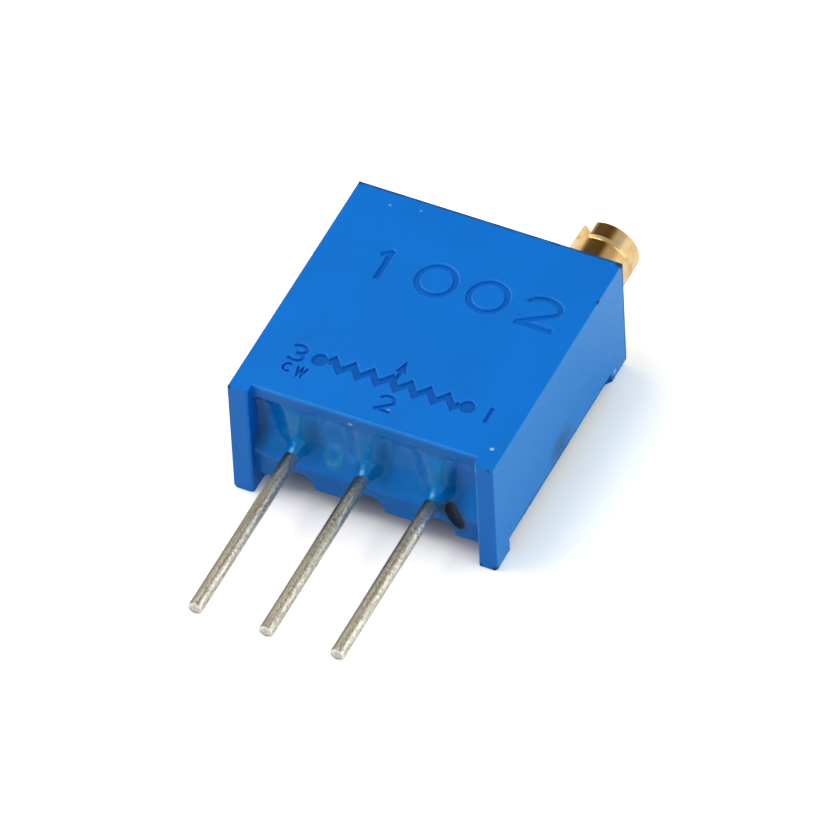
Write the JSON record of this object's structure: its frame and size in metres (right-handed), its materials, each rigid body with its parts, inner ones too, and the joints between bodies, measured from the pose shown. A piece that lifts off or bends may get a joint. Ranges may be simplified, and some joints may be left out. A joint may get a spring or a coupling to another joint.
{
  "type": "trimmer potentiometer",
  "caption": "Square multi-turn trimming potentiometer with in-line pins on one end and a slotted brass adjusting screw on the other.",
  "frame": {"origin": "axis of the middle terminal, where it crosses the seating plane of the feet", "axes": "+X along the terminal row, from terminal 3 towards terminal 1; +Y from the terminals towards the adjusting screw; +Z out of the marked front face"},
  "size_m": [0.0096, 0.019, 0.0048],
  "materials": {
    "blue_thermoplastic": "satin",
    "blue_epoxy": "gloss",
    "screw_brass": "satin",
    "seal_rubber": "matte",
    "clip_steel": "satin",
    "white_acetal": "satin",
    "contact_alloy": "satin",
    "alumina": "matte",
    "cermet": "matte",
    "printed_silver": "satin",
    "solder": "gloss",
    "tinned_copper": "satin"
  },
  "bodies": {
    "case": {"housing": "blue_thermoplastic", "potting_compound": "blue_epoxy", "retaining_clip": "clip_steel", "ceramic_substrate": "alumina", "resistive_track": "cermet", "end_print_1": "printed_silver", "collector_print": "printed_silver", "end_print_3": "printed_silver", "solder_joint_1": "solder", "solder_joint_2": "solder", "solder_joint_3": "solder", "terminal_1": "tinned_copper", "terminal_2": "tinned_copper", "terminal_3": "tinned_copper"},
    "adjuster": {"adjusting_screw": "screw_brass", "screw_seal": "seal_rubber"},
    "rotor": {"worm_wheel": "white_acetal", "wiper_contact": "contact_alloy"}
  },
  "joints": [
    {"name": "adjuster_turn", "type": "hinge", "parent": "case", "child": "adjuster", "pos_m": [0.00349, 0.011, 0.00112], "axis": [0, 1, 0], "range_deg": [-4500, 4500]},
    {"name": "rotor_turn", "type": "hinge", "parent": "case", "child": "rotor", "pos_m": [-0.0004, 0.0054, 0.00112], "axis": [0, 0, 1], "range_deg": [-150, 150]}
  ],
  "couplings": [
    {"joint": "rotor_turn", "follows": "adjuster_turn", "ratio": -0.033333}
  ]
}
